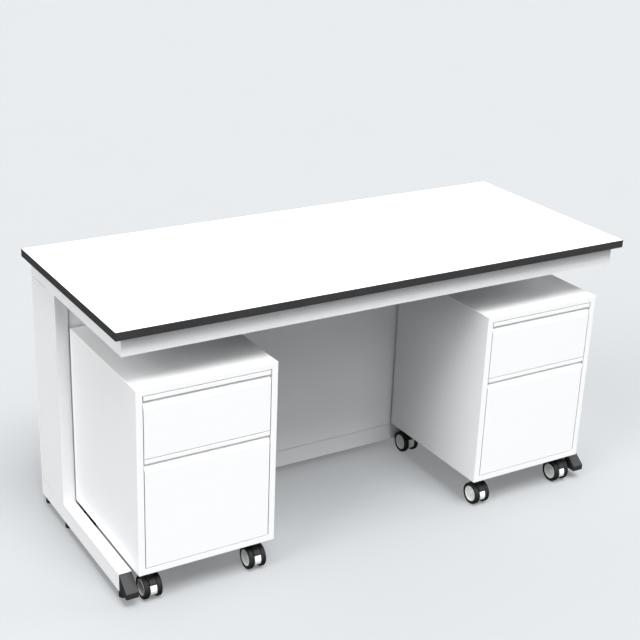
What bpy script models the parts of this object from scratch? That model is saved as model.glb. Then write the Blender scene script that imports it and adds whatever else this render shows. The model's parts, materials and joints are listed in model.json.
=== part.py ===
"""Teacher desk: a cantilever-framed bench with two mobile two-drawer pedestals.

Metres, +Z up.  X runs along the width, the user sits on the -Y side, and the origin is on the
floor under the centre of the worktop.  Every object is one physical piece.
"""
import math

import bmesh
import bpy
from mathutils import Vector

# Overall sizes
DESK_WIDTH = 1.800
DESK_DEPTH = 0.750
DESK_HEIGHT = 0.900

# Clearances
TOUCH = 0.0003            # between pieces that bear on each other
SEAM = 0.002              # visible joint above and below a panel
PANEL_SIDE_GAP = 0.003    # back panel to upright
RUNNING = 0.00005         # shaft in its bore, on the radius
LOOSE = 0.0005            # stem in its hole, on the radius
WHEEL_GAP = 0.001         # castor wheel to its housing

# Worktop
WORKTOP_THICKNESS = 0.025
EDGE_BAND = 0.0015
OVERHANG_FRONT = 0.025
OVERHANG_SIDE = 0.025
OVERHANG_REAR = 0.012

# Welded frame
TUBE_WIDTH = 0.040
TUBE_HEIGHT = 0.060
TUBE_WALL = 0.002
TUBE_CORNER = 0.003
CORNER_STEPS = 3
FRONT_RAIL_DEPTH = 0.030
RAIL_SHEET = 0.0015
COLUMN_DEPTH = 0.203
UPRIGHT_DEPTH = 0.066

# Panels in and on the frame
PANEL_SETBACK = 0.002
BACK_PANEL_THICKNESS = 0.018
REAR_COVER_THICKNESS = 0.016
SIDE_COVER_SHEET = 0.0015
SIDE_COVER_RETURN = 0.036

# Foot ends and levelling feet
CAP_LENGTH = 0.055
CAP_SETBACK = 0.003
CAP_NOSE = 0.019
CAP_PLUG = 0.012
FOOT_HEIGHT = 0.034
FOOT_RADIUS = 0.013
FOOT_TOP_GAP = 0.002
FOOT_CHAMFER = 0.002
SCREW_RADIUS = 0.005
SCREW_LENGTH = 0.026
FRONT_FOOT_INSET = 0.020
MIDDLE_FOOT_INSET = 0.010
REAR_FOOT_INSET = 0.0135

# Pedestals
PEDESTAL_WIDTH = 0.450
PEDESTAL_SIDE_GAP = 0.0005
PEDESTAL_SETBACK = 0.001
PEDESTAL_REAR_GAP = 0.009
PEDESTAL_HEADROOM = 0.110
CARCASS_SHEET = 0.0012
FRAME_FACE = 0.020
FRAME_RETURN = 0.022
UPPER_DRAWER = 0.200

# Drawer fronts
FRONT_GAP = 0.003
FRONT_THICKNESS = 0.018
FRONT_SHEET = 0.0012
LIP_HEIGHT = 0.013
PULL_DEPTH = 0.014
PULL_HEIGHT = 0.028

# Drawer boxes and runners
BOX_SHEET = 0.001
BOX_SIDE_GAP = 0.013
BOX_REAR_GAP = 0.040
BOX_BOTTOM_GAP = 0.012
BOX_TOP_GAP = 0.045
RUNNER_HEIGHT = 0.020
RUNNER_SHEET = 0.0015
RUNNER_REAR_GAP = 0.020
RUNNER_DROP = 0.012
FLANGE_THICKNESS = 0.002
FLANGE_SIDE_GAP = 0.001
SLIDE_GAP = 0.0006

# Castors
CASTOR_HEIGHT = 0.105
WHEEL_RADIUS = 0.0375
WHEEL_WIDTH = 0.0165
TYRE_SHOULDER = 0.0025
TYRE_DEPTH = 0.0108
DISC_DISH = 0.003
CASTOR_CORE = 0.022
CASTOR_INSET_SIDE = 0.0497
CASTOR_INSET_END = 0.038
CASTOR_TRAIL = 0.004
AXLE_RADIUS = 0.003
STEM_RADIUS = 0.0055
STEM_LENGTH = 0.015
COLLAR_RADIUS = 0.015
SOCKET_WALL = 0.0035
HOOD_PROUD = 0.001
HOOD_FRONT_ANGLE = 30.0
HOOD_REAR_ANGLE = 165.0
CORE_SETBACK = 0.0015
CORE_FLOOR = 0.024

# Facets of the round pieces
ROUND_STEPS = 24
WHEEL_STEPS = 28
CORE_STEPS = 30

# Planes that follow from the sizes above
WORKTOP_UNDERSIDE = DESK_HEIGHT - WORKTOP_THICKNESS
RAIL_TOP = WORKTOP_UNDERSIDE - TOUCH
RAIL_BOTTOM = WORKTOP_UNDERSIDE - TUBE_HEIGHT
FOOT_TUBE_TOP = FOOT_HEIGHT + TUBE_HEIGHT
FRAME_HALF = DESK_WIDTH / 2 - OVERHANG_SIDE
FRAME_INSIDE = FRAME_HALF - TUBE_WIDTH
FRAME_CENTRE = FRAME_HALF - TUBE_WIDTH / 2
FRAME_FRONT = -DESK_DEPTH / 2 + OVERHANG_FRONT
FRAME_REAR = DESK_DEPTH / 2 - OVERHANG_REAR
COLUMN_FRONT = FRAME_REAR - COLUMN_DEPTH
UPRIGHT_BACK = COLUMN_FRONT + UPRIGHT_DEPTH
TUBE_FRONT = FRAME_FRONT + CAP_SETBACK + CAP_LENGTH
PANEL_FRONT = COLUMN_FRONT + PANEL_SETBACK
PANEL_BOTTOM = FOOT_TUBE_TOP + SEAM

PEDESTAL_X = FRAME_INSIDE - PEDESTAL_SIDE_GAP - PEDESTAL_WIDTH / 2
PEDESTAL_FRONT = FRAME_FRONT + PEDESTAL_SETBACK
PEDESTAL_DEPTH = COLUMN_FRONT - PEDESTAL_REAR_GAP - PEDESTAL_FRONT
PEDESTAL_HEIGHT = RAIL_BOTTOM - PEDESTAL_HEADROOM - CASTOR_HEIGHT
PEDESTAL_TOP = CASTOR_HEIGHT + PEDESTAL_HEIGHT
OPENING_HALF = PEDESTAL_WIDTH / 2 - FRAME_FACE
OPENING_BOTTOM = CASTOR_HEIGHT + FRAME_FACE
OPENING_TOP = PEDESTAL_TOP - FRAME_FACE

AXLE_HEIGHT = WHEEL_RADIUS
WHEEL_TOP = 2 * WHEEL_RADIUS
WHEEL_INSIDE = CASTOR_CORE / 2 + WHEEL_GAP
WHEEL_OUTSIDE = WHEEL_INSIDE + WHEEL_WIDTH

LEFT = -1
RIGHT = 1
SIDES = (("left", LEFT), ("right", RIGHT))

# The pedestal is drawn about its own origin: on the floor, centred in X, at its front face in Y.
PEDESTAL_ORIGINS = {side: Vector((sign * PEDESTAL_X, PEDESTAL_FRONT, 0)) for side, sign in SIDES}


def clear_scene():
    """Remove whatever the file already holds."""
    for existing in list(bpy.data.objects):
        bpy.data.objects.remove(existing, do_unlink=True)


def material(name, colour, roughness, metallic=0.0):
    """One Principled material."""
    made = bpy.data.materials.new(name)
    made.use_nodes = True
    shader = made.node_tree.nodes["Principled BSDF"]
    shader.inputs["Base Color"].default_value = (*colour, 1.0)
    shader.inputs["Roughness"].default_value = roughness
    shader.inputs["Metallic"].default_value = metallic
    made.diffuse_color = (*colour, 1.0)
    return made


def make_materials():
    """The finishes the desk is made in."""
    return {
        "white_coat": material("white_coat", (0.86, 0.87, 0.87), 0.42),
        "white_laminate": material("white_laminate", (0.90, 0.90, 0.90), 0.38),
        "dark_edging": material("dark_edging", (0.060, 0.060, 0.062), 0.48),
        "black_plastic": material("black_plastic", (0.035, 0.035, 0.037), 0.50),
        "black_tyre": material("black_tyre", (0.030, 0.030, 0.032), 0.62),
        "zinc_steel": material("zinc_steel", (0.62, 0.63, 0.64), 0.35, 0.9),
    }


# ---------------------------------------------------------------- geometry helpers

def prism(outline, axis, low, high):
    """A closed prism: a flat outline in the two axes other than `axis`, extruded along it."""
    def corner(point, level):
        first, second = point
        if axis == "X":
            return (level, first, second)
        if axis == "Y":
            return (first, level, second)
        return (first, second, level)

    shape = bmesh.new()
    start = [shape.verts.new(corner(point, low)) for point in outline]
    end = [shape.verts.new(corner(point, high)) for point in outline]
    shape.faces.new(start)
    shape.faces.new(end[::-1])
    count = len(outline)
    for index in range(count):
        after = (index + 1) % count
        shape.faces.new((start[index], end[index], end[after], start[after]))
    bmesh.ops.recalc_face_normals(shape, faces=shape.faces)
    return shape


def block(low, high):
    """A rectangular block between two corners."""
    outline = [(low[0], low[1]), (high[0], low[1]), (high[0], high[1]), (low[0], high[1])]
    return prism(outline, "Z", low[2], high[2])


def side_block(sign, near, far, low, high):
    """A block on one side of the centre line: X from `near` to `far`, the rest as (y, z) corners."""
    first, second = sorted((sign * near, sign * far))
    return block((first, *low), (second, *high))


def cylinder(centre, radius, axis, low, high, steps=ROUND_STEPS):
    """A round bar along one axis; `centre` is given in the other two."""
    turn = 2 * math.pi / steps
    outline = [(centre[0] + radius * math.cos(turn * step), centre[1] + radius * math.sin(turn * step))
               for step in range(steps)]
    return prism(outline, axis, low, high)


def rounded_rectangle(low, high, radius):
    """Outline of a rectangle with round corners."""
    points = []
    corners = ((high[0] - radius, high[1] - radius, 0), (low[0] + radius, high[1] - radius, 90),
               (low[0] + radius, low[1] + radius, 180), (high[0] - radius, low[1] + radius, 270))
    for centre_a, centre_b, first_angle in corners:
        for step in range(CORNER_STEPS + 1):
            angle = math.radians(first_angle + 90 * step / CORNER_STEPS)
            points.append((centre_a + radius * math.cos(angle), centre_b + radius * math.sin(angle)))
    return points


def turned(profile, steps):
    """A closed solid of revolution about X; the profile runs from axis to axis as (x, radius)."""
    shape = bmesh.new()
    rings = []
    for along, radius in profile:
        if radius == 0:
            rings.append([shape.verts.new((along, 0, 0))])
            continue
        turn = 2 * math.pi / steps
        rings.append([shape.verts.new((along, radius * math.cos(turn * step), radius * math.sin(turn * step)))
                      for step in range(steps)])
    for ring, following in zip(rings, rings[1:]):
        for step in range(steps):
            after = (step + 1) % steps
            corners = [ring[step % len(ring)], ring[after % len(ring)],
                       following[after % len(following)], following[step % len(following)]]
            shape.faces.new(list(dict.fromkeys(corners)))
    bmesh.ops.recalc_face_normals(shape, faces=shape.faces)
    return shape


def shape_object(shape):
    """Wrap a shape in an object for the Boolean tools."""
    mesh = bpy.data.meshes.new("shape")
    shape.to_mesh(mesh)
    shape.free()
    wrapped = bpy.data.objects.new("shape", mesh)
    bpy.context.scene.collection.objects.link(wrapped)
    return wrapped


def solid(base, add=(), cut=()):
    """Join the `add` shapes to the base, take the `cut` shapes away, and return the mesh."""
    target = shape_object(base)
    tools = [(shape_object(shape), "UNION") for shape in add]
    tools += [(shape_object(shape), "DIFFERENCE") for shape in cut]
    for tool, operation in tools:
        step = target.modifiers.new(operation, "BOOLEAN")
        step.object = tool
        step.operation = operation
        step.solver = "EXACT"
    mesh = bpy.data.meshes.new_from_object(target.evaluated_get(bpy.context.evaluated_depsgraph_get()))
    for used in [target] + [tool for tool, _ in tools]:
        bpy.data.objects.remove(used, do_unlink=True)
    return mesh


def shape_from(mesh):
    """Read a mesh back as a shape for a further Boolean step."""
    shape = bmesh.new()
    shape.from_mesh(mesh)
    bpy.data.meshes.remove(mesh)
    return shape


def piece(name, mesh, finish, origin=(0, 0, 0), parent=None):
    """Make a named piece whose mesh is drawn about its own origin."""
    made = bpy.data.objects.new(name, mesh)
    bpy.context.scene.collection.objects.link(made)
    made.parent = parent
    made.location = origin
    mesh.name = name
    if not mesh.materials:
        mesh.materials.append(finish)
    return made


def smooth(mesh, angle=35):
    """Shade the round faces of a mesh smooth and keep its sharp edges."""
    mesh.shade_smooth()
    mesh.set_sharp_from_angle(angle=math.radians(angle))
    return mesh


def tube_mesh(width, height, start, end, closed_end=False, cut=()):
    """A rectangular tube along Y, centred on X = 0 with its underside at Z = 0."""
    outer = rounded_rectangle((-width / 2, 0), (width / 2, height), TUBE_CORNER)
    bore_low = (-width / 2 + TUBE_WALL, TUBE_WALL)
    bore_high = (width / 2 - TUBE_WALL, height - TUBE_WALL)
    inner = rounded_rectangle(bore_low, bore_high, TUBE_CORNER - TUBE_WALL)
    bore_end = end - TUBE_WALL if closed_end else end + TUBE_WALL
    bore = prism(inner, "Y", start - TUBE_WALL, bore_end)
    return smooth(solid(prism(outer, "Y", start, end), cut=[bore, *cut]))


def pan(low, high, sheet, open_axis):
    """A folded sheet pan: a block hollowed from its high side along one axis, given as an index."""
    inner_low = [value + sheet for value in low]
    inner_high = [value - sheet for value in high]
    inner_high[open_axis] = high[open_axis] + sheet
    return solid(block(low, high), cut=[block(inner_low, inner_high)])


# ---------------------------------------------------------------- worktop

def make_worktop(finish):
    """The faced board and the four edge bands round it."""
    half_width = DESK_WIDTH / 2
    half_depth = DESK_DEPTH / 2
    inner_x = half_width - EDGE_BAND - TOUCH
    inner_y = half_depth - EDGE_BAND - TOUCH
    bottom = WORKTOP_UNDERSIDE
    top = DESK_HEIGHT
    board = solid(block((-inner_x, -inner_y, bottom), (inner_x, inner_y, top)))
    piece("worktop_board", board, finish["white_laminate"])
    long_band = solid(block((-half_width, 0, bottom), (half_width, EDGE_BAND, top)))
    piece("edge_band_front", long_band, finish["dark_edging"], (0, -half_depth, 0))
    piece("edge_band_rear", long_band.copy(), finish["dark_edging"], (0, half_depth - EDGE_BAND, 0))
    short_band = solid(block((0, -inner_y, bottom), (EDGE_BAND, inner_y, top)))
    piece("edge_band_left", short_band, finish["dark_edging"], (-half_width, 0, 0))
    piece("edge_band_right", short_band.copy(), finish["dark_edging"], (half_width - EDGE_BAND, 0, 0))


# ---------------------------------------------------------------- frame

def make_front_rail(finish):
    """The folded rail under the front of the worktop, open at its back."""
    low = (-FRAME_HALF, FRAME_FRONT, RAIL_BOTTOM)
    high = (FRAME_HALF, FRAME_FRONT + FRONT_RAIL_DEPTH, RAIL_TOP)
    piece("front_rail", pan(low, high, RAIL_SHEET, 1), finish["white_coat"])


def foot_positions():
    """Y of each levelling foot, by its place under the foot tube."""
    return (("front", TUBE_FRONT + FRONT_FOOT_INSET),
            ("middle", COLUMN_FRONT + MIDDLE_FOOT_INSET),
            ("rear", FRAME_REAR - REAR_FOOT_INSET))


def make_side_frames(finish):
    """The arm, upright and foot tube at each end."""
    arm_start = FRAME_FRONT + FRONT_RAIL_DEPTH + TOUCH
    arm = tube_mesh(TUBE_WIDTH, RAIL_TOP - RAIL_BOTTOM, arm_start, FRAME_REAR, closed_end=True)
    screw_holes = [cylinder((0, place), SCREW_RADIUS + LOOSE, "Z", -TUBE_WALL, 2 * TUBE_WALL)
                   for _, place in foot_positions()]
    foot = tube_mesh(TUBE_WIDTH, TUBE_HEIGHT, TUBE_FRONT, FRAME_REAR, closed_end=True, cut=screw_holes)
    half = TUBE_WIDTH / 2
    outer = rounded_rectangle((-half, COLUMN_FRONT), (half, UPRIGHT_BACK), TUBE_CORNER)
    inner = rounded_rectangle((-half + TUBE_WALL, COLUMN_FRONT + TUBE_WALL),
                              (half - TUBE_WALL, UPRIGHT_BACK - TUBE_WALL), TUBE_CORNER - TUBE_WALL)
    bottom = FOOT_TUBE_TOP + TOUCH
    top = RAIL_BOTTOM - TOUCH
    bore = prism(inner, "Z", bottom - TUBE_WALL, top + TUBE_WALL)
    upright = smooth(solid(prism(outer, "Z", bottom, top), cut=[bore]))
    for side, sign in SIDES:
        x = sign * FRAME_CENTRE
        piece("arm_" + side, arm, finish["white_coat"], (x, 0, RAIL_BOTTOM))
        piece("upright_" + side, upright, finish["white_coat"], (x, 0, 0))
        piece("foot_tube_" + side, foot, finish["white_coat"], (x, 0, FOOT_HEIGHT))


def make_cross_rails(finish):
    """The rear top rail between the arms and the lower rail between the foot tubes."""
    half = FRAME_INSIDE - TOUCH
    rails = (("rear_top_rail", FRAME_REAR - TUBE_WIDTH, RAIL_BOTTOM, RAIL_TOP),
             ("lower_rail", PANEL_FRONT, FOOT_HEIGHT, FOOT_TUBE_TOP))
    for name, front, bottom, top in rails:
        back = front + TUBE_WIDTH
        outer = rounded_rectangle((front, bottom), (back, top), TUBE_CORNER)
        inner = rounded_rectangle((front + TUBE_WALL, bottom + TUBE_WALL),
                                  (back - TUBE_WALL, top - TUBE_WALL), TUBE_CORNER - TUBE_WALL)
        bore = prism(inner, "X", -half - TUBE_WALL, half + TUBE_WALL)
        mesh = smooth(solid(prism(outer, "X", -half, half), cut=[bore]))
        piece(name, mesh, finish["white_coat"])


def make_panels(finish):
    """The back panel the user faces, the rear cover, and the side covers behind the uprights."""
    half = FRAME_INSIDE - PANEL_SIDE_GAP
    cover_top = RAIL_BOTTOM - SEAM
    back = block((-half, PANEL_FRONT, PANEL_BOTTOM), (half, PANEL_FRONT + BACK_PANEL_THICKNESS, RAIL_TOP))
    piece("back_panel", solid(back), finish["white_laminate"])
    rear = block((-half, FRAME_REAR - REAR_COVER_THICKNESS, PANEL_BOTTOM), (half, FRAME_REAR, cover_top))
    piece("rear_cover", solid(rear), finish["white_laminate"])
    sheet = SIDE_COVER_SHEET
    low = (UPRIGHT_BACK + TOUCH, PANEL_BOTTOM)
    high = (FRAME_REAR, cover_top)
    inner_low = [value + sheet for value in low]
    inner_high = [value - sheet for value in high]
    for side, sign in SIDES:
        outer = side_block(sign, FRAME_HALF - SIDE_COVER_RETURN, FRAME_HALF, low, high)
        inner = side_block(sign, FRAME_INSIDE, FRAME_HALF - sheet, inner_low, inner_high)
        piece("side_cover_" + side, solid(outer, cut=[inner]), finish["white_coat"])


def make_foot_caps(finish):
    """The wedge-shaped plug in the front end of each foot tube."""
    wedge = [(TUBE_FRONT - TOUCH, FOOT_HEIGHT), (TUBE_FRONT - TOUCH, FOOT_TUBE_TOP),
             (TUBE_FRONT - CAP_LENGTH, FOOT_HEIGHT + CAP_NOSE), (TUBE_FRONT - CAP_LENGTH, FOOT_HEIGHT)]
    half = TUBE_WIDTH / 2
    plug_half = half - TUBE_WALL - TOUCH
    margin = TUBE_WALL + TOUCH
    plug_section = rounded_rectangle((-plug_half, FOOT_HEIGHT + margin), (plug_half, FOOT_TUBE_TOP - margin),
                                     TUBE_CORNER - TUBE_WALL)
    plug = prism(plug_section, "Y", TUBE_FRONT - CAP_SETBACK, TUBE_FRONT + CAP_PLUG)
    hollow_wall = 2 * TUBE_WALL
    hollow = block((-plug_half + hollow_wall, TUBE_FRONT - CAP_SETBACK, FOOT_HEIGHT + margin + hollow_wall),
                   (plug_half - hollow_wall, TUBE_FRONT + 2 * CAP_PLUG,
                    FOOT_TUBE_TOP - margin - hollow_wall))
    mesh = solid(prism(wedge, "X", -half, half), add=[plug], cut=[hollow])
    for side, sign in SIDES:
        piece("foot_cap_" + side, mesh, finish["black_plastic"], (sign * FRAME_CENTRE, 0, 0))


def make_levelling_feet(finish):
    """The six screw-in feet, each drawn about its screw's axis."""
    body_top = FOOT_HEIGHT - FOOT_TOP_GAP
    profile = [(0, 0), (0, FOOT_RADIUS - FOOT_CHAMFER), (FOOT_CHAMFER, FOOT_RADIUS),
               (body_top, FOOT_RADIUS), (body_top, SCREW_RADIUS),
               (body_top + SCREW_LENGTH, SCREW_RADIUS), (body_top + SCREW_LENGTH, 0)]
    shape = turned(profile, ROUND_STEPS)
    for vertex in shape.verts:
        along, across, radial = vertex.co
        vertex.co = (across, radial, along)
    bmesh.ops.recalc_face_normals(shape, faces=shape.faces)
    mesh = smooth(solid(shape))
    for side, sign in SIDES:
        for place, y in foot_positions():
            piece(f"levelling_foot_{side}_{place}", mesh, finish["black_plastic"],
                  (sign * FRAME_CENTRE, y, 0))


# ---------------------------------------------------------------- pedestals

def castor_places():
    """Each castor's stem position in the pedestal's frame."""
    x = PEDESTAL_WIDTH / 2 - CASTOR_INSET_SIDE
    ends = (("front", CASTOR_INSET_END), ("rear", PEDESTAL_DEPTH - CASTOR_INSET_END))
    return [(f"{end}_{side}", sign * x, y) for end, y in ends for side, sign in SIDES]


def carcass_mesh():
    """The folded cabinet: five sheet walls, the front frame with its returns, and castor sockets."""
    half = PEDESTAL_WIDTH / 2
    sheet = CARCASS_SHEET
    outer = block((-half, 0, CASTOR_HEIGHT), (half, PEDESTAL_DEPTH, PEDESTAL_TOP))
    cavity = block((-half + sheet, sheet, CASTOR_HEIGHT + sheet),
                   (half - sheet, PEDESTAL_DEPTH - sheet, PEDESTAL_TOP - sheet))
    collar = block((-OPENING_HALF - sheet, sheet / 2, OPENING_BOTTOM - sheet),
                   (OPENING_HALF + sheet, FRAME_RETURN, OPENING_TOP + sheet))
    opening = block((-OPENING_HALF, -sheet, OPENING_BOTTOM),
                    (OPENING_HALF, FRAME_RETURN + sheet, OPENING_TOP))
    socket_radius = STEM_RADIUS + LOOSE + SOCKET_WALL
    socket_top = CASTOR_HEIGHT + STEM_LENGTH
    sockets = [cylinder((x, y), socket_radius, "Z", CASTOR_HEIGHT + sheet / 2, socket_top)
               for _, x, y in castor_places()]
    holes = [cylinder((x, y), STEM_RADIUS + LOOSE, "Z", CASTOR_HEIGHT - sheet, socket_top + sheet)
             for _, x, y in castor_places()]
    shell = shape_from(solid(outer, cut=[cavity]))
    return solid(shell, add=[collar, *sockets], cut=[opening, *holes])


def drawer_zones():
    """Name, bottom and top of each drawer's share of the opening."""
    split = OPENING_TOP - UPPER_DRAWER
    return (("upper", split, OPENING_TOP), ("lower", OPENING_BOTTOM, split))


def front_limits(bottom, top):
    """Bottom and top of a drawer front: a full gap to the frame, half of one to its neighbour."""
    low = bottom + (FRONT_GAP if bottom == OPENING_BOTTOM else FRONT_GAP / 2)
    high = top - (FRONT_GAP if top == OPENING_TOP else FRONT_GAP / 2)
    return low, high


def front_outline(low, high, back, sheet):
    """Side outline of a drawer front with its finger pull, `sheet` inside the outer faces."""
    lip = high - LIP_HEIGHT
    rise = PULL_HEIGHT / PULL_DEPTH
    drop = sheet * (math.hypot(1, rise) - rise)
    points = [(back, low + sheet), (back, high - sheet), (sheet, high - sheet), (sheet, lip + sheet),
              (PULL_DEPTH + sheet, lip + sheet), (PULL_DEPTH + sheet, lip - drop),
              (sheet, lip - PULL_HEIGHT - drop), (sheet, low + sheet)]
    return list(dict.fromkeys(points))


def front_mesh(bottom, top):
    """A folded sheet front: a lip along its top, a finger pull sloping out below it, open behind."""
    low, high = front_limits(bottom, top)
    half = OPENING_HALF - FRONT_GAP
    cheek = half - FRONT_SHEET
    skin = front_outline(low, high, FRONT_THICKNESS, 0)
    hollow = front_outline(low, high, FRONT_THICKNESS + FRONT_SHEET, FRONT_SHEET)
    return solid(prism(skin, "X", -half, half), cut=[prism(hollow, "X", -cheek, cheek)])


def box_limits(bottom, top):
    """Bottom and top of a drawer box within its zone."""
    return bottom + BOX_BOTTOM_GAP, top - BOX_TOP_GAP


def runner_level(bottom, top):
    """Height of the middle of a drawer's side flanges."""
    box_top = box_limits(bottom, top)[1]
    return box_top - RUNNER_DROP - RUNNER_HEIGHT / 2


def box_mesh(bottom, top):
    """A steel drawer box, open at the top, with a flange along each side that rides in the runner."""
    half = OPENING_HALF - BOX_SIDE_GAP
    low_z, high_z = box_limits(bottom, top)
    front = FRONT_THICKNESS + TOUCH
    rear = PEDESTAL_DEPTH - BOX_REAR_GAP
    tray = shape_from(pan((-half, front, low_z), (half, rear, high_z), BOX_SHEET, 2))
    level = runner_level(bottom, top)
    low = (FRAME_RETURN + BOX_SHEET, level - FLANGE_THICKNESS / 2)
    high = (rear, level + FLANGE_THICKNESS / 2)
    flanges = [side_block(sign, half - BOX_SHEET / 2, OPENING_HALF - FLANGE_SIDE_GAP, low, high)
               for _, sign in SIDES]
    return solid(tray, add=flanges)


def runner_mesh(bottom, top, sign):
    """A folded channel on the carcass side, open towards the drawer."""
    outside = PEDESTAL_WIDTH / 2 - CARCASS_SHEET - TOUCH
    inside = OPENING_HALF - BOX_SIDE_GAP + SLIDE_GAP
    web = outside - RUNNER_SHEET
    start = FRAME_RETURN + SLIDE_GAP
    end = PEDESTAL_DEPTH - RUNNER_REAR_GAP
    level = runner_level(bottom, top)
    slot = FLANGE_THICKNESS / 2 + SLIDE_GAP
    jaw = slot + RUNNER_SHEET
    jaws = side_block(sign, inside, outside, (start, level - jaw), (end, level + jaw))
    plate = side_block(sign, web, outside, (start, level - RUNNER_HEIGHT / 2),
                       (end, level + RUNNER_HEIGHT / 2))
    channel = side_block(sign, inside - RUNNER_SHEET, web, (start - RUNNER_SHEET, level - slot),
                         (end + RUNNER_SHEET, level + slot))
    return solid(jaws, add=[plate], cut=[channel])


def castor_housing_mesh():
    """The core between the wheels with its hood, neck, collar and stem, about the stem's foot."""
    half = CASTOR_CORE / 2
    core = prism(core_outline(), "X", -half, half)
    neck = block((-half, -COLLAR_RADIUS, AXLE_HEIGHT), (half, COLLAR_RADIUS, CASTOR_HEIGHT - SOCKET_WALL))
    collar = cylinder((0, 0), COLLAR_RADIUS, "Z", WHEEL_TOP + WHEEL_GAP, CASTOR_HEIGHT - TOUCH)
    stem = cylinder((0, 0), STEM_RADIUS, "Z", CASTOR_HEIGHT - SOCKET_WALL, CASTOR_HEIGHT + STEM_LENGTH)
    bore = cylinder((CASTOR_TRAIL, AXLE_HEIGHT), AXLE_RADIUS + RUNNING, "X", -CASTOR_CORE, CASTOR_CORE)
    return smooth(solid(core, add=[neck, collar, stem], cut=[bore]))


def core_outline():
    """Side outline of the core: an arc about the axle, proud where the hood is, with a flat floor."""
    core_radius = WHEEL_RADIUS - CORE_SETBACK
    drop = math.degrees(math.asin((AXLE_HEIGHT - CORE_FLOOR) / core_radius))
    outline = []
    for step in range(CORE_STEPS + 1):
        angle = -drop + (180 + 2 * drop) * step / CORE_STEPS
        hooded = HOOD_FRONT_ANGLE < angle < HOOD_REAR_ANGLE
        reach = WHEEL_RADIUS + HOOD_PROUD if hooded else core_radius
        turn = math.radians(angle)
        outline.append((CASTOR_TRAIL - reach * math.cos(turn), AXLE_HEIGHT + reach * math.sin(turn)))
    return outline


def wheel_pair_mesh():
    """Two tyred wheels on one axle, about the axle's centre."""
    outside = WHEEL_OUTSIDE
    inside = WHEEL_INSIDE
    disc = WHEEL_RADIUS - TYRE_DEPTH
    half = [(inside, AXLE_RADIUS), (inside, WHEEL_RADIUS - TYRE_SHOULDER),
            (inside + TYRE_SHOULDER, WHEEL_RADIUS), (outside - TYRE_SHOULDER, WHEEL_RADIUS),
            (outside, WHEEL_RADIUS - TYRE_SHOULDER),
            (outside, disc), (outside - DISC_DISH, disc - DISC_DISH), (outside - DISC_DISH, 0)]
    profile = [(-along, radius) for along, radius in reversed(half)] + half
    return smooth(solid(turned(profile, WHEEL_STEPS)), 40)


def make_pedestal(side, origin, meshes, finish):
    """One pedestal: carcass, two drawers with their runners, and four castors."""
    name = "pedestal_" + side
    base = bpy.data.objects.new(name, None)
    bpy.context.scene.collection.objects.link(base)
    base.location = origin
    piece(name + "_carcass", meshes["carcass"], finish["white_coat"], parent=base)
    for drawer, _, _ in drawer_zones():
        stem = f"{name}_{drawer}"
        piece(stem + "_drawer_front", meshes[drawer + "_front"], finish["white_coat"], parent=base)
        piece(stem + "_drawer_box", meshes[drawer + "_box"], finish["zinc_steel"], parent=base)
        for hand, _ in SIDES:
            piece(f"{stem}_runner_{hand}", meshes[f"{drawer}_runner_{hand}"], finish["zinc_steel"],
                  parent=base)
    for place, x, y in castor_places():
        piece(f"{name}_castor_{place}_housing", meshes["housing"], finish["black_plastic"], (x, y, 0), base)
        piece(f"{name}_castor_{place}_wheels", meshes["wheels"], finish["black_tyre"],
              (x, y + CASTOR_TRAIL, AXLE_HEIGHT), base)


def make_pedestals(finish):
    """Both pedestals, which share their meshes."""
    meshes = {"carcass": carcass_mesh(), "housing": castor_housing_mesh(), "wheels": wheel_pair_mesh()}
    for drawer, bottom, top in drawer_zones():
        meshes[drawer + "_front"] = front_mesh(bottom, top)
        meshes[drawer + "_box"] = box_mesh(bottom, top)
        for hand, sign in SIDES:
            meshes[f"{drawer}_runner_{hand}"] = runner_mesh(bottom, top, sign)
    for side, origin in PEDESTAL_ORIGINS.items():
        make_pedestal(side, origin, meshes, finish)


def main():
    """Build the whole desk."""
    clear_scene()
    finish = make_materials()
    make_worktop(finish)
    make_front_rail(finish)
    make_side_frames(finish)
    make_cross_rails(finish)
    make_panels(finish)
    make_foot_caps(finish)
    make_levelling_feet(finish)
    make_pedestals(finish)


main()
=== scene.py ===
import json
import math

import bmesh
import bpy
from mathutils import Matrix, Vector

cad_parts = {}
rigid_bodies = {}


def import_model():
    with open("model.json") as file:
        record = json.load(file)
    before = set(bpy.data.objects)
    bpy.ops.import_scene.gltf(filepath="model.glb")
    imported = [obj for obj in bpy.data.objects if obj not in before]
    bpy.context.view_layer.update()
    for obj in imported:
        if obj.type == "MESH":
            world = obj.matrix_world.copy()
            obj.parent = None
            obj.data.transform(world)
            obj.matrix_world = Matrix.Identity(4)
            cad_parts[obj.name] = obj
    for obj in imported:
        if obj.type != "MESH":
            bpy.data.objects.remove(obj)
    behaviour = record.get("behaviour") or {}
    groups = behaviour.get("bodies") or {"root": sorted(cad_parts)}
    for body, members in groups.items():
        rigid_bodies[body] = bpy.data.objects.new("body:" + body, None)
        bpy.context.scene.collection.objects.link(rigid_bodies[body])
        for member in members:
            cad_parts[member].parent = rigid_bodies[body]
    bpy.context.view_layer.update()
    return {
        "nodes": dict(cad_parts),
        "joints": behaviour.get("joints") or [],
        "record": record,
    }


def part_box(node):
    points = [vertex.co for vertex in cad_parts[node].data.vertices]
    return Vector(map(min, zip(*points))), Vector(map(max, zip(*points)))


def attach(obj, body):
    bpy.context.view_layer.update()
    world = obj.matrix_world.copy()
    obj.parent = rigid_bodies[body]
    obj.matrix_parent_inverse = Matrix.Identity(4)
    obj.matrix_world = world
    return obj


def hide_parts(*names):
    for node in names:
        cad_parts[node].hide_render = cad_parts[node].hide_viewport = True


for left_over in list(bpy.data.objects):
    bpy.data.objects.remove(left_over, do_unlink=True)

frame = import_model()
NODES = frame["nodes"]


def low(node):
    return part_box(node)[0]


def high(node):
    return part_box(node)[1]


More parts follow.
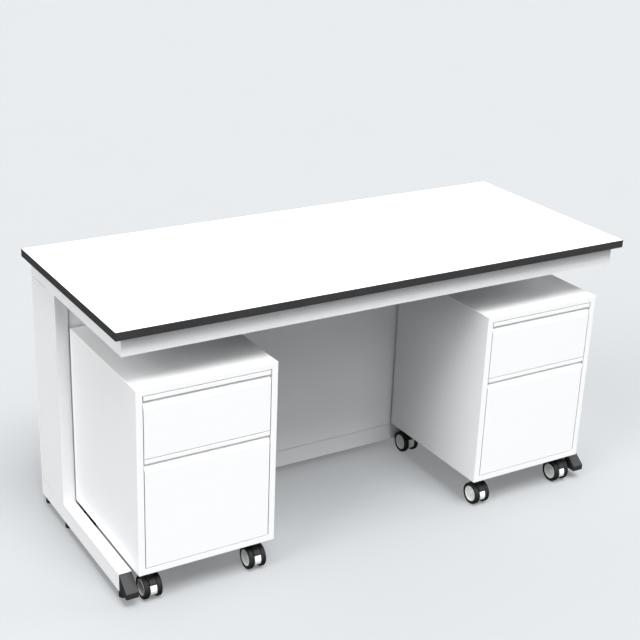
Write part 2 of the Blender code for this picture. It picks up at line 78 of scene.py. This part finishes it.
def show(name, data):
    """Make an object and link it to the scene."""
    made = bpy.data.objects.new(name, data)
    bpy.context.scene.collection.objects.link(made)
    return made


# ---------------------------------------------------------------- camera

def aim_camera():
    """A camera above the desk's front left, with a slight roll and a small lens shift."""
    place = (-2.1089, -3.3492, 2.2547)
    yaw = math.radians(30.976)
    pitch = math.radians(22.68)
    roll = math.radians(1.934)
    flat = math.cos(pitch)
    forward = Vector((math.sin(yaw) * flat, math.cos(yaw) * flat, -math.sin(pitch)))
    level = Vector((math.cos(yaw), -math.sin(yaw), 0))
    upright = level.cross(forward)
    right = math.cos(roll) * level + math.sin(roll) * upright
    up = math.cos(roll) * upright - math.sin(roll) * level
    data = bpy.data.cameras.new("camera")
    data.sensor_width = 36
    data.lens = 73.35
    data.shift_x = 0.0277
    data.shift_y = 0.0147
    data.clip_start = 0.05
    data.clip_end = 200
    camera = show("camera", data)
    turn = Matrix((right, up, -forward)).transposed().to_4x4()
    camera.matrix_world = Matrix.Translation(place) @ turn
    bpy.context.scene.camera = camera


aim_camera()


# ---------------------------------------------------------------- materials

def set_range(node, low_in, high_in, low_out, high_out):
    """Set a Map Range node's ends."""
    ends = {"From Min": low_in, "From Max": high_in, "To Min": low_out, "To Max": high_out}
    for socket, number in ends.items():
        node.inputs[socket].default_value = number


class Nodes:
    """Short calls for building a material's nodes."""

    def __init__(self, name):
        self.material = bpy.data.materials.new(name)
        self.material.use_nodes = True
        self.tree = self.material.node_tree
        self.shader = self.tree.nodes["Principled BSDF"]
        self.place = self.tree.nodes.new("ShaderNodeTexCoord").outputs["Object"]

    def set(self, **values):
        for socket, value in values.items():
            self.shader.inputs[socket.replace("_", " ")].default_value = value

    def link(self, output, socket):
        self.tree.links.new(output, socket)

    def stretch(self, scale):
        """Object coordinates scaled unevenly, for grain that runs one way."""
        mapping = self.tree.nodes.new("ShaderNodeMapping")
        mapping.inputs["Scale"].default_value = scale
        self.link(self.place, mapping.inputs["Vector"])
        return mapping.outputs["Vector"]

    def noise(self, scale, detail=2.0, roughness=0.5, vector=None):
        node = self.tree.nodes.new("ShaderNodeTexNoise")
        node.inputs["Scale"].default_value = scale
        node.inputs["Detail"].default_value = detail
        node.inputs["Roughness"].default_value = roughness
        self.link(vector or self.place, node.inputs["Vector"])
        return node.outputs["Fac"]

    def cells(self, scale, feature="F1"):
        node = self.tree.nodes.new("ShaderNodeTexVoronoi")
        node.feature = feature
        node.inputs["Scale"].default_value = scale
        self.link(self.place, node.inputs["Vector"])
        return node.outputs["Distance"]

    def spread(self, value, low_in, high_in, low_out, high_out):
        """Map a value's range onto another, clamped."""
        node = self.tree.nodes.new("ShaderNodeMapRange")
        set_range(node, low_in, high_in, low_out, high_out)
        self.link(value, node.inputs["Value"])
        return node.outputs["Result"]

    def multiply(self, first, second):
        node = self.tree.nodes.new("ShaderNodeMath")
        node.operation = "MULTIPLY"
        self.link(first, node.inputs[0])
        self.link(second, node.inputs[1])
        return node.outputs[0]

    def mix(self, factor, first, second):
        node = self.tree.nodes.new("ShaderNodeMix")
        node.data_type = "RGBA"
        self.link(factor, node.inputs["Factor"])
        for socket, value in (("A", first), ("B", second)):
            target = next(s for s in node.inputs if s.name == socket and s.type == "RGBA")
            if isinstance(value, tuple):
                target.default_value = (*value, 1.0)
            else:
                self.link(value, target)
        return next(s for s in node.outputs if s.type == "RGBA")

    def colour(self, output):
        self.link(output, self.shader.inputs["Base Color"])

    def rough(self, output):
        self.link(output, self.shader.inputs["Roughness"])

    def bump(self, *layers):
        """Stack bump layers, each a (height output, depth in metres)."""
        normal = None
        for height, depth in layers:
            node = self.tree.nodes.new("ShaderNodeBump")
            node.inputs["Distance"].default_value = depth
            self.link(height, node.inputs["Height"])
            if normal:
                self.link(normal, node.inputs["Normal"])
            normal = node.outputs["Normal"]
        self.link(normal, self.shader.inputs["Normal"])


def powder_coat():
    """White powder coat on steel: orange peel, fine stipple, a faint drift in tone and gloss."""
    n = Nodes("white_powder_coat")
    stipple = n.noise(900, 3, 0.6)
    drift = n.noise(2.2, 3)
    tone = n.mix(n.spread(stipple, 0.35, 0.65, 0, 1), (0.80, 0.805, 0.81), (0.87, 0.872, 0.875))
    n.colour(n.mix(n.spread(drift, 0.35, 0.7, 0, 0.35), tone, (0.83, 0.832, 0.83)))
    n.rough(n.spread(n.noise(60, 3), 0.3, 0.7, 0.42, 0.52))
    n.bump((n.noise(420, 2), 0.00006), (stipple, 0.00002))
    return n.material


def laminate():
    """White melamine: a fine pearl texture and faint rubbed patches."""
    n = Nodes("white_laminate")
    pearl = n.cells(1100, "SMOOTH_F1")
    rub = n.noise(3.2, 4, 0.6)
    n.colour(n.mix(n.spread(rub, 0.4, 0.75, 0, 1), (0.90, 0.902, 0.905), (0.875, 0.876, 0.876)))
    n.rough(n.spread(rub, 0.3, 0.75, 0.33, 0.46))
    n.bump((pearl, 0.00003), (n.noise(160, 2), 0.00002))
    return n.material


def plastic(name, dark, light, roughness):
    """Moulded plastic with an eroded grain."""
    grain = 700
    depth = 0.00004
    n = Nodes(name)
    fine = n.noise(grain, 3, 0.55)
    broad = n.noise(25, 3)
    fine_tone = n.spread(fine, 0.3, 0.7, 0.4, 1)
    broad_tone = n.spread(broad, 0.3, 0.7, 0.6, 1)
    n.colour(n.mix(n.multiply(fine_tone, broad_tone), dark, light))
    n.set(Specular_IOR_Level=0.3)
    n.rough(n.spread(broad, 0.3, 0.7, roughness - 0.06, roughness + 0.08))
    n.bump((fine, depth), (n.cells(grain * 0.7), depth * 0.6))
    return n.material


def tyre():
    """Soft black tread, paler where it is dusty."""
    n = Nodes("castor_tyre")
    dust = n.noise(140, 4, 0.7)
    n.colour(n.mix(n.spread(dust, 0.5, 0.8, 0, 1), (0.011, 0.011, 0.0115), (0.026, 0.0255, 0.025)))
    n.set(Specular_IOR_Level=0.3)
    n.rough(n.spread(dust, 0.3, 0.8, 0.5, 0.75))
    n.bump((n.noise(1300, 2), 0.00003))
    return n.material


def zinc():
    """Zinc-plated sheet: rolled grain, faint spangle."""
    n = Nodes("zinc_sheet")
    grain = n.noise(14, 3, 0.6, n.stretch((60, 2, 60)))
    spangle = n.cells(90)
    n.set(Metallic=0.92)
    n.colour(n.mix(n.spread(spangle, 0, 0.7, 0, 1), (0.56, 0.57, 0.59), (0.68, 0.69, 0.70)))
    n.rough(n.spread(grain, 0.3, 0.7, 0.28, 0.44))
    n.bump((grain, 0.00002))
    return n.material


def disc_grey():
    """Light grey moulded wheel disc with a fine grain."""
    n = Nodes("wheel_disc_grey")
    n.colour(n.mix(n.spread(n.noise(300, 3), 0.3, 0.7, 0, 1), (0.68, 0.685, 0.69), (0.76, 0.765, 0.77)))
    n.rough(n.spread(n.noise(90, 2), 0.3, 0.7, 0.34, 0.46))
    n.bump((n.noise(900, 2), 0.00003))
    return n.material


def core_white():
    """White moulded core of the castor."""
    n = Nodes("castor_core_white")
    n.colour(n.mix(n.spread(n.noise(220, 3), 0.35, 0.7, 0, 1), (0.86, 0.865, 0.87), (0.80, 0.80, 0.80)))
    n.rough(n.spread(n.noise(80, 2), 0.3, 0.7, 0.36, 0.48))
    n.bump((n.noise(1000, 2), 0.00003))
    return n.material


COAT = powder_coat()
LAMINATE = laminate()
EDGING = plastic("dark_edge_band", (0.027, 0.027, 0.0275), (0.038, 0.038, 0.0385), 0.50)
CAP = plastic("cap_plastic", (0.020, 0.020, 0.0205), (0.030, 0.030, 0.0305), 0.52)
BLACK = plastic("black_plastic", (0.009, 0.009, 0.0095), (0.017, 0.017, 0.0175), 0.50)
TYRE = tyre()
ZINC = zinc()
DISC = disc_grey()
CORE = core_white()
FINISH = {"white_coat": COAT, "white_laminate": LAMINATE, "dark_edging": EDGING, "black_plastic": BLACK,
          "black_tyre": TYRE, "zinc_steel": ZINC}

# A CAD node that stays in view, such as a runner, shows the finish of its slot.
for subpart in frame["record"]["subparts"]:
    materials = NODES[subpart["node"]].data.materials
    materials.clear()
    materials.append(FINISH[subpart["material_slot"]])


# ---------------------------------------------------------------- mesh tools

SIDES = (("left", -1), ("right", 1))
BEVEL_ANGLE = math.radians(25)


def prism(outline, axis, start, end):
    """A closed prism along X or Z, from an outline in the two other axes."""
    order = {"X": (2, 0, 1), "Z": (0, 1, 2)}[axis]
    shape = bmesh.new()
    rings = []
    for level in (start, end):
        ring = []
        for point in outline:
            spot = (*point, level)
            ring.append(shape.verts.new([spot[index] for index in order]))
        rings.append(ring)
    shape.faces.new(rings[0])
    shape.faces.new(rings[1][::-1])
    count = len(outline)
    for index in range(count):
        after = (index + 1) % count
        shape.faces.new((rings[0][index], rings[1][index], rings[1][after], rings[0][after]))
    bmesh.ops.recalc_face_normals(shape, faces=shape.faces)
    return shape


def block(lowest, highest, radius=0.0, segments=2):
    """A block, its edges rounded if a radius is given."""
    outline = [(lowest[0], lowest[1]), (highest[0], lowest[1]),
               (highest[0], highest[1]), (lowest[0], highest[1])]
    return rounded(prism(outline, "Z", lowest[2], highest[2]), radius, segments)


def rounded(shape, radius, segments=2):
    """Round the edges sharper than BEVEL_ANGLE, if a radius is given."""
    if radius:
        sharp = [edge for edge in shape.edges if edge.calc_face_angle(0) > BEVEL_ANGLE]
        bmesh.ops.bevel(shape, geom=sharp, offset=radius, segments=segments, profile=0.5,
                        affect="EDGES", clamp_overlap=True)
    return shape


def lathe(profile, steps, ring=False):
    """A solid turned about X from (x, radius) points; a ring profile is closed on itself."""
    shape = bmesh.new()
    turn = 2 * math.pi / steps
    rings = []
    for along, radius in profile:
        if radius == 0:
            rings.append([shape.verts.new((along, 0, 0))])
        else:
            rings.append([shape.verts.new((along, radius * math.cos(turn * k), radius * math.sin(turn * k)))
                          for k in range(steps)])
    following = rings[1:] + rings[:1] if ring else rings[1:]
    for first, second in zip(rings, following):
        for k in range(steps):
            after = (k + 1) % steps
            corners = [first[k % len(first)], first[after % len(first)],
                       second[after % len(second)], second[k % len(second)]]
            shape.faces.new(list(dict.fromkeys(corners)))
    bmesh.ops.recalc_face_normals(shape, faces=shape.faces)
    return shape


def hoop(near, far, profile):
    """A closed bar round a rectangle; its profile is (inward, height) points."""
    shape = bmesh.new()
    corners = ((near[0], near[1], 1, 1), (far[0], near[1], -1, 1),
               (far[0], far[1], -1, -1), (near[0], far[1], 1, -1))
    rings = [[shape.verts.new((x + turn_x * inward, y + turn_y * inward, height))
              for inward, height in profile]
             for x, y, turn_x, turn_y in corners]
    for first, second in zip(rings, rings[1:] + rings[:1]):
        for index in range(len(profile)):
            after = (index + 1) % len(profile)
            shape.faces.new((first[index], first[after], second[after], second[index]))
    bmesh.ops.recalc_face_normals(shape, faces=shape.faces)
    return shape


def arc(centre, radius, first, last, count):
    """Points along an arc, angles in degrees."""
    turns = [math.radians(first + (last - first) * k / count) for k in range(count + 1)]
    return [(centre[0] + radius * math.cos(turn), centre[1] + radius * math.sin(turn)) for turn in turns]


def as_object(shape):
    """Turn a shape into an object, and free the shape."""
    mesh = bpy.data.meshes.new("shape")
    shape.to_mesh(mesh)
    shape.free()
    return show("shape", mesh)


def combine(base, add=(), cut=()):
    """Join and cut shapes, and return the mesh."""
    target = as_object(base)
    tools = [(as_object(shape), "UNION") for shape in add]
    tools += [(as_object(shape), "DIFFERENCE") for shape in cut]
    for tool, operation in tools:
        step = target.modifiers.new(operation, "BOOLEAN")
        step.object = tool
        step.operation = operation
        step.solver = "EXACT"
    mesh = bpy.data.meshes.new_from_object(target.evaluated_get(bpy.context.evaluated_depsgraph_get()))
    for used in [target] + [tool for tool, _ in tools]:
        bpy.data.objects.remove(used, do_unlink=True)
    return mesh


def reread(mesh):
    """Turn a mesh back into a shape."""
    shape = bmesh.new()
    shape.from_mesh(mesh)
    bpy.data.meshes.remove(mesh)
    return shape


def soften(mesh, angle=32):
    """Shade round parts smooth and keep the edges sharper than an angle in degrees."""
    mesh.shade_smooth()
    mesh.set_sharp_from_angle(angle=math.radians(angle))
    return mesh


def turned_up(profile, steps, angle=32):
    """The mesh of (height, radius) points turned about Z."""
    shape = lathe(profile, steps)
    for vertex in shape.verts:
        vertex.co = (vertex.co.y, vertex.co.z, vertex.co.x)
    bmesh.ops.recalc_face_normals(shape, faces=shape.faces)
    return soften(combine(shape), angle)


def node_block(node, grow=0.0, radius=0.0):
    """A block over a node's box."""
    lowest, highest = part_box(node)
    spread = Vector((grow, grow, grow))
    return block(lowest - spread, highest + spread, radius)


def put(name, mesh, finish, body, place=(0, 0, 0), stands_for=()):
    """Place a piece, tie it to its CAD body and hide the CAD nodes it stands for."""
    made = show(name, mesh)
    made.location = place
    if not mesh.materials:
        mesh.materials.append(finish)
    even = made.modifiers.new("even_faces", "WEIGHTED_NORMAL")
    even.keep_sharp = True
    bpy.context.view_layer.update()
    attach(made, body)
    if stands_for:
        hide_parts(*stands_for)


# ---------------------------------------------------------------- desk

FRAME_SHEET = 0.0015


def make_frame():
    """The steel frame as one weldment, with rounded edges and a front rail open to the back."""
    lap = 0.0006
    bend_radius = 0.0022
    uprights = ["upright_left", "upright_right"]
    foot_tubes = ["foot_tube_left", "foot_tube_right"]
    rails = ["rear_top_rail", "lower_rail"]
    rail_low, rail_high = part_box("front_rail")
    joined = []
    for side, _ in SIDES:
        arm_low, arm_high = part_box("arm_" + side)
        joined.append(block((arm_low.x, rail_low.y, arm_low.z), arm_high))
    joined += [node_block(member, lap) for member in uprights]
    joined += [node_block(member) for member in foot_tubes]
    joined += [node_block(member, lap) for member in rails]
    shape = reread(combine(block(rail_low, rail_high), add=joined))
    bmesh.ops.dissolve_limit(shape, angle_limit=math.radians(1), verts=shape.verts, edges=shape.edges)
    rounded(shape, bend_radius, 3)
    arm_inside = high("arm_left").x
    channel = block((arm_inside + FRAME_SHEET, rail_low.y + FRAME_SHEET, rail_low.z + FRAME_SHEET),
                    (-arm_inside - FRAME_SHEET, rail_high.y + FRAME_SHEET, rail_high.z - FRAME_SHEET))
    put("frame_weldment", soften(combine(shape, cut=[channel])), COAT, "desk",
        stands_for=["front_rail", "arm_left", "arm_right", *uprights, *foot_tubes, *rails])


def make_boards():
    """Worktop, its bands, the back panel and the rear cover, with eased edges."""
    board_radius = 0.0002
    eased = 0.0006
    glue_gap = 0.0002
    edges = ("front", "rear", "left", "right")
    rows = [("worktop_board", board_radius, LAMINATE, "white_laminate")]
    rows += [("edge_band_" + edge, eased, EDGING, "dark_edging") for edge in edges]
    rows += [(board, eased, LAMINATE, "white_laminate") for board in ("back_panel", "rear_cover")]
    for node, radius, finish, slot in rows:
        shape = node_block(node, radius=radius)
        if node == "worktop_board":
            for vertex in shape.verts:
                vertex.co.x += math.copysign(glue_gap, vertex.co.x)
                vertex.co.y += math.copysign(glue_gap, vertex.co.y)
        put(node + "_skin", soften(combine(shape)), finish, "desk", stands_for=[node])


def make_side_covers():
    """Folded covers that lap the uprights' rear corners, with a seam above and below."""
    lap = 0.004
    seam = 0.001
    proud = 0.0002
    bend_radius = 0.0007
    for side, sign in SIDES:
        node = "side_cover_" + side
        lowest, highest = (corner.copy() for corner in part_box(node))
        lowest.y -= lap
        lowest.z += seam
        highest.z -= seam
        if sign < 0:
            lowest.x -= proud
        else:
            highest.x += proud
        inner_low = [value + FRAME_SHEET for value in lowest]
        inner_high = [value - FRAME_SHEET for value in highest]
        if sign < 0:
            inner_high[0] += 2 * FRAME_SHEET
        else:
            inner_low[0] -= 2 * FRAME_SHEET
        mesh = combine(block(lowest, highest, bend_radius), cut=[block(inner_low, inner_high)])
        put(node + "_skin", soften(mesh), COAT, "desk", stands_for=[node])


def make_caps():
    """Wedge caps with soft edges and a fine shut line at the tube."""
    shut_line = 0.0002
    below_tube_top = 0.0015
    flat_top = 0.004
    nose_height = 0.019
    edge_radius = 0.0016
    for side, _ in SIDES:
        node = "foot_cap_" + side
        lowest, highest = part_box(node)
        tube_front = low("foot_tube_" + side).y
        top = highest.z - below_tube_top
        wedge = [(tube_front - shut_line, lowest.z), (tube_front - shut_line, top),
                 (tube_front - flat_top, top), (lowest.y, lowest.z + nose_height), (lowest.y, lowest.z)]
        body = rounded(prism(wedge, "X", lowest.x, highest.x), edge_radius, 3)
        put(node + "_moulding", soften(combine(body)), CAP, "desk", stands_for=[node])


def make_feet():
    """Levelling feet: a grooved base on a threaded rod."""
    some_low, some_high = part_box("levelling_foot_left_front")
    radius = (some_high.x - some_low.x) / 2
    groove = radius - 0.0008
    top = low("foot_tube_left").z - 0.002
    base = [(0, 0), (0, radius - 0.002), (0.0008, radius - 0.0006), (0.002, radius), (0.007, radius),
            (0.008, groove), (0.010, groove), (0.011, radius), (top - 0.003, radius),
            (top - 0.001, radius - 0.0012), (top, radius - 0.003), (top, 0)]
    crest = 0.0050
    root = 0.0043
    rod_start = top - 0.003
    rod_end = some_high.z - 0.001
    rod = [(rod_start, 0), (rod_start, root)]
    along = top - 0.002
    while along < some_high.z - 0.002:
        rod += [(along, crest), (along + 0.0006, root), (along + 0.00125, crest)]
        along += 0.00135
    rod += [(rod_end, root), (rod_end, 0)]
    base_mesh = turned_up(base, 48)
    rod_mesh = turned_up(rod, 20, 60)
    for side, _ in SIDES:
        for spot in ("front", "middle", "rear"):
            node = f"levelling_foot_{side}_{spot}"
            lowest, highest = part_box(node)
            place = ((lowest.x + highest.x) / 2, (lowest.y + highest.y) / 2, 0)
            put(node + "_base", base_mesh, BLACK, node, place, [node])
            put(node + "_rod", rod_mesh, ZINC, node, place)


# ---------------------------------------------------------------- pedestals

FACE = 0.020
RETURN = 0.022
SHEET = 0.0012


def make_carcass(side):
    """Folded cabinet with rounded bends, a front frame and a plain inside."""
    bend_radius = 0.0014
    node = f"pedestal_{side}_carcass"
    lowest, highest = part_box(node)
    inset = Vector((SHEET, SHEET, SHEET))
    outer = block(lowest, highest, bend_radius, 3)
    shell = reread(combine(outer, cut=[block(lowest + inset, highest - inset)]))
    collar = block((lowest.x + FACE - SHEET, lowest.y + SHEET / 2, lowest.z + FACE - SHEET),
                   (highest.x - FACE + SHEET, lowest.y + RETURN, highest.z - FACE + SHEET))
    opening = block((lowest.x + FACE, lowest.y - SHEET, lowest.z + FACE),
                    (highest.x - FACE, lowest.y + RETURN + SHEET, highest.z - FACE))
    mesh = combine(shell, add=[collar], cut=[opening])
    put(node + "_skin", soften(mesh), COAT, f"pedestal_{side}_cabinet", stands_for=[node])


def make_drawer(side, drawer):
    """Front with its lip and a hollow finger pull below it, and the box behind."""
    lip_height = 0.013
    pull = 0.014
    reach = 0.028
    edge_radius = 0.0004
    steps = 10
    fullness = 0.9
    stem = f"pedestal_{side}_{drawer}_drawer"
    lowest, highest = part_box(stem + "_front")
    lip = highest.z - lip_height
    profile = [(highest.y, lowest.z), (highest.y, highest.z), (lowest.y, highest.z), (lowest.y, lip),
               (lowest.y + pull, lip)]
    for k in range(1, steps + 1):
        share = k / steps
        depth = pull * (1 - math.sin(share * math.pi / 2) ** fullness)
        profile.append((lowest.y + depth, lip - reach * share))
    profile.append((lowest.y, lowest.z))
    front = rounded(prism(profile, "X", lowest.x, highest.x), edge_radius)
    hollow = block((lowest.x + SHEET, lowest.y + pull + SHEET, lowest.z + SHEET),
                   (highest.x - SHEET, highest.y + SHEET, highest.z - SHEET))
    put(stem + "_front_skin", soften(combine(front, cut=[hollow])), COAT, stem,
        stands_for=[stem + "_front"])
    make_box(stem)


def make_box(stem):
    """Steel drawer box with a rolled rim, side flanges and raised ribs in its floor."""
    side_gap = 0.013
    sheet = 0.001
    lap = 0.0005
    edge_radius = 0.0004
    lowest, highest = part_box(stem + "_box")
    carcass_low, carcass_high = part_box(stem.rsplit("_", 2)[0] + "_carcass")
    left = carcass_low.x + FACE + side_gap
    right = carcass_high.x - FACE - side_gap
    tray = combine(block((left, lowest.y, lowest.z), (right, highest.y, highest.z), edge_radius),
                   cut=[block((left + sheet, lowest.y + sheet, lowest.z + sheet),
                              (right - sheet, highest.y - sheet, highest.z + sheet))])

    flange = 0.012
    runner_low, runner_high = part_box(stem.rsplit("_", 1)[0] + "_runner_left")
    level = (runner_low.z + runner_high.z) / 2
    flange_start = carcass_low.y + RETURN + sheet
    flange_end = highest.y - lap
    flanges = [block((left - flange, flange_start, level - sheet), (left + lap, flange_end, level + sheet)),
               block((right - lap, flange_start, level - sheet), (right + flange, flange_end, level + sheet))]

    rib_count = 5
    rib_half = 0.006
    rib_end = 0.03
    rib_rise = 0.0012
    rib_radius = 0.0005
    ribs = []
    for k in range(rib_count):
        x = left + (right - left) * (k + 0.5) / rib_count
        ribs.append(block((x - rib_half, lowest.y + rib_end, lowest.z + lap / 2),
                          (x + rib_half, highest.y - rib_end, lowest.z + sheet + rib_rise), rib_radius))

    # The insets differ so that no mitre of the rim runs through a corner edge of the tray.
    bead = 0.0016
    rise = 0.0008
    inset_side = 0.0005
    inset_end = 0.00062
    rim = hoop((left + inset_side, lowest.y + inset_end), (right - inset_side, highest.y - inset_end),
               arc((bead, highest.z - bead + rise), bead, 7, 337, 11))
    mesh = combine(reread(tray), add=[rim] + flanges + ribs)
    put(stem + "_box_skin", soften(mesh), ZINC, stem, stands_for=[stem + "_box"])


def tread_profile(inside, outside, radius, disc):
    """A tyre's ring of (along, radius) points: rounded shoulders and two fine grooves."""
    groove = radius - 0.0006
    return [(inside, disc + 0.0002), (inside, radius - 0.0035), (inside + 0.0012, radius - 0.0012),
            (inside + 0.0030, radius), (inside + 0.0060, radius), (inside + 0.0064, groove),
            (inside + 0.0068, radius), (outside - 0.0068, radius), (outside - 0.0064, groove),
            (outside - 0.0060, radius), (outside - 0.0030, radius), (outside - 0.0012, radius - 0.0010),
            (outside - 0.0002, radius - 0.0032), (outside, disc + 0.0022),
            (outside - 0.0008, disc + 0.0002)]


def disc_profile(inside, outside, disc):
    """A wheel disc's (along, radius) points: a raised rim, a dished face and a hub."""
    return [(inside + 0.001, 0), (inside + 0.001, disc), (outside - 0.0010, disc),
            (outside - 0.0004, disc - 0.0008), (outside - 0.0004, disc - 0.0022),
            (outside - 0.0016, disc - 0.0030), (outside - 0.0030, disc - 0.0046),
            (outside - 0.0052, 0.0120), (outside - 0.0050, 0.0085), (outside - 0.0034, 0.0078),
            (outside - 0.0034, 0.0040), (outside - 0.0042, 0.0030), (outside - 0.0042, 0)]


def wheel_meshes(radius):
    """The tyres, discs and axle, about the axle's centre."""
    some = "pedestal_left_castor_front_left"
    outside = (high(some + "_wheels").x - low(some + "_wheels").x) / 2
    half_housing = (high(some + "_housing").x - low(some + "_housing").x) / 2
    inside = min(half_housing, 0.011) + 0.001
    disc = 0.0267
    meshes = {}
    for hand, sign in SIDES:
        tread = [(sign * x, r) for x, r in tread_profile(inside, outside, radius, disc)]
        face = [(sign * x, r) for x, r in disc_profile(inside, outside, disc)]
        meshes["tyre_" + hand] = soften(combine(lathe(tread, 72, ring=True)), 40)
        meshes["disc_" + hand] = soften(combine(lathe(face, 72)), 24)
    axle_end = inside + 0.002
    axle_radius = 0.003
    axle = lathe([(-axle_end, 0), (-axle_end, axle_radius), (axle_end, axle_radius), (axle_end, 0)], 24)
    meshes["axle"] = soften(combine(axle))
    return meshes


def housing_meshes(radius):
    """The core between the wheels, the skid below it and the hood over it, about the axle's centre."""
    half = 0.0105
    edge_radius = 0.0008
    core_radius = radius - 0.0015
    floor = 0.0235 - radius
    foot = math.degrees(math.asin(floor / core_radius))
    core = [(-y, z) for y, z in arc((0, 0), core_radius, foot, 180 - foot, 40)]

    skid_top = floor - 0.0001
    skid_bottom = floor - 0.0032
    skid = [(-0.0290, skid_top), (-0.0262, skid_bottom), (0.0262, skid_bottom), (0.0290, skid_top)]

    hood_start = 29
    hood_end = 165
    hood = arc((0, 0), radius + 0.001, hood_start, hood_end, 34)
    hood += arc((0, 0), core_radius - 0.004, hood_end, hood_start, 34)
    hood = [(-y, z) for y, z in hood]
    hood_half = half + 0.0004
    hood_edge = 0.0009
    return {"core": soften(combine(rounded(prism(core, "X", -half, half), edge_radius)), 40),
            "skid": soften(combine(rounded(prism(skid, "X", -half, half), edge_radius))),
            "hood": soften(combine(rounded(prism(hood, "X", -hood_half, hood_half), hood_edge, 3)), 40)}


def stem_meshes(radius):
    """The neck above the hood and the plate under the cabinet, about the stem and up from the floor."""
    underside = low("pedestal_left_carcass").z
    wheel_top = 2 * radius
    neck = [(wheel_top - 0.006, 0), (wheel_top - 0.006, 0.0095), (wheel_top + 0.002, 0.0095),
            (wheel_top + 0.004, 0.0140), (underside - 0.006, 0.0148), (underside - 0.0045, 0.0140),
            (underside - 0.0045, 0)]
    plate = [(underside - 0.0046, 0), (underside - 0.0046, 0.0150), (underside - 0.0040, 0.0158),
             (underside - 0.0012, 0.0158), (underside - 0.0004, 0.0150), (underside - 0.0004, 0)]
    return {"neck": turned_up(neck, 40), "plate": turned_up(plate, 40)}


def make_castor(stem, meshes):
    """One castor's pieces: the wheels on its wheelset, and the rest on its swivel."""
    wheelset = stem + "_wheelset"
    swivel = stem + "_swivel"
    wheels_node = stem + "_wheels"
    housing_node = stem + "_housing"
    wheel_low, wheel_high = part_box(wheels_node)
    centre = (wheel_low + wheel_high) / 2
    for hand, _ in SIDES:
        put(f"{stem}_tyre_{hand}", meshes["tyre_" + hand], TYRE, wheelset, centre,
            [wheels_node])
        put(f"{stem}_disc_{hand}", meshes["disc_" + hand], DISC, wheelset, centre)
    put(stem + "_axle", meshes["axle"], ZINC, wheelset, centre)
    put(stem + "_core", meshes["core"], CORE, swivel, centre, [housing_node])
    put(stem + "_skid", meshes["skid"], BLACK, swivel, centre, [housing_node])
    put(stem + "_hood", meshes["hood"], BLACK, swivel, centre, [housing_node])
    stem_y = next(joint["pos_m"][1] for joint in frame["joints"] if joint["name"] == swivel)
    stem_foot = (centre.x, stem_y, 0)
    put(stem + "_neck", meshes["neck"], BLACK, swivel, stem_foot)
    put(stem + "_plate", meshes["plate"], ZINC, swivel, stem_foot)


def make_pedestals():
    """Both pedestals, whose castors share one set of meshes."""
    wheel_low, wheel_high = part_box("pedestal_left_castor_front_left_wheels")
    radius = (wheel_high.z - wheel_low.z) / 2
    meshes = {**wheel_meshes(radius), **housing_meshes(radius), **stem_meshes(radius)}
    for side, _ in SIDES:
        make_carcass(side)
        for drawer in ("upper", "lower"):
            make_drawer(side, drawer)
        for end in ("front", "rear"):
            for hand, _ in SIDES:
                make_castor(f"pedestal_{side}_castor_{end}_{hand}", meshes)


make_frame()
make_boards()
make_side_covers()
make_caps()
make_feet()
make_pedestals()


# ---------------------------------------------------------------- floor and light

def make_stage():
    """A plain pale floor that fills the view, and throws no light back onto the object."""
    shape = bmesh.new()
    bmesh.ops.create_grid(shape, x_segments=8, y_segments=8, size=60)
    mesh = bpy.data.meshes.new("floor")
    shape.to_mesh(mesh)
    shape.free()
    floor = show("floor", mesh)
    n = Nodes("floor_paint")
    n.colour(n.mix(n.noise(1.5, 2), (0.243, 0.252, 0.259), (0.248, 0.257, 0.264)))
    n.set(Roughness=0.9, Specular_IOR_Level=0.1)
    n.set(Emission_Color=(0.97, 1.0, 1.03, 1), Emission_Strength=0.195)
    mesh.materials.append(n.material)
    floor.visible_diffuse = False
    floor.visible_glossy = False


def make_sky():
    """A world that glows in a low band all round, where a studio's walls would be, and fades below."""
    world = bpy.data.worlds.new("studio")
    world.use_nodes = True
    tree = world.node_tree
    direction = tree.nodes.new("ShaderNodeTexCoord")
    split = tree.nodes.new("ShaderNodeSeparateXYZ")
    tree.links.new(direction.outputs["Generated"], split.inputs["Vector"])
    band = tree.nodes.new("ShaderNodeMapRange")
    set_range(band, 0.30, 0.38, 0.9, 0.02)
    tree.links.new(split.outputs["Z"], band.inputs["Value"])
    above = tree.nodes.new("ShaderNodeMapRange")
    set_range(above, -0.16, -0.08, 0.03, 1.0)
    tree.links.new(split.outputs["Z"], above.inputs["Value"])
    glow = tree.nodes.new("ShaderNodeMath")
    glow.operation = "MULTIPLY"
    tree.links.new(band.outputs["Result"], glow.inputs[0])
    tree.links.new(above.outputs["Result"], glow.inputs[1])
    tree.links.new(glow.outputs["Value"], tree.nodes["Background"].inputs["Strength"])
    tree.nodes["Background"].inputs["Color"].default_value = (0.925, 0.955, 0.98, 1)
    bpy.context.scene.world = world


# Name, elevation, azimuth from the front, width in degrees, and strength.
LIGHTS = (("key", 65, 0, 30, 1.17),
          ("front", 45, 0, 30, 0.22),
          ("top", 88, 0, 30, 0.36),
          ("left", 45, -75, 30, 0.31),
          ("low_left", 25, -75, 30, 0.52),
          ("right", 25, 75, 30, 0.38),
          ("back", 60, 180, 40, 0.26))


def make_light():
    """Soft studio light: wide sources high in front and above, with fills from the sides and back."""
    for name, elevation, azimuth, width, strength in LIGHTS:
        lamp = bpy.data.lights.new(name, "SUN")
        lamp.energy = strength * math.pi
        lamp.angle = math.radians(width)
        source = show(name, lamp)
        up = math.radians(elevation)
        turn = math.radians(azimuth)
        towards = Vector((math.sin(turn) * math.cos(up), -math.cos(turn) * math.cos(up), math.sin(up)))
        source.rotation_euler = towards.to_track_quat("Z", "Y").to_euler()
    scene = bpy.context.scene
    scene.view_settings.view_transform = "Standard"
    scene.view_settings.look = "None"
    scene.cycles.diffuse_bounces = 2


make_stage()
make_sky()
make_light()
